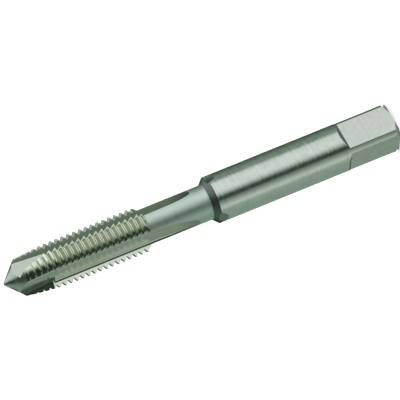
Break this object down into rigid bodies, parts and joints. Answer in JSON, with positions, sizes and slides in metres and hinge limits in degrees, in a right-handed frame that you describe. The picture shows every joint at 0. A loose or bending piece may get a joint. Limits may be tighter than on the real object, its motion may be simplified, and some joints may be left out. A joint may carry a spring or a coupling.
{
  "type": "thread tap",
  "caption": "Right-hand spiral-point machine tap with straight flutes, a necked body, a plain round shank and a square drive end, for cutting internal threads.",
  "frame": {"origin": "centre of the end face of the driving square, on the tap's axis", "axes": "+Z along the axis, from the square end up to the point; +X and +Y square to two neighbouring flats of the driving square. The tap stands on its square end."},
  "size_m": [0.008, 0.008, 0.0702],
  "materials": {
    "ground_steel": "ground high speed steel, circumferential grinding marks on the round parts and lengthwise marks in the flutes"
  },
  "bodies": {
    "root": {"thread_tap": "ground_steel"}
  },
  "joints": []
}
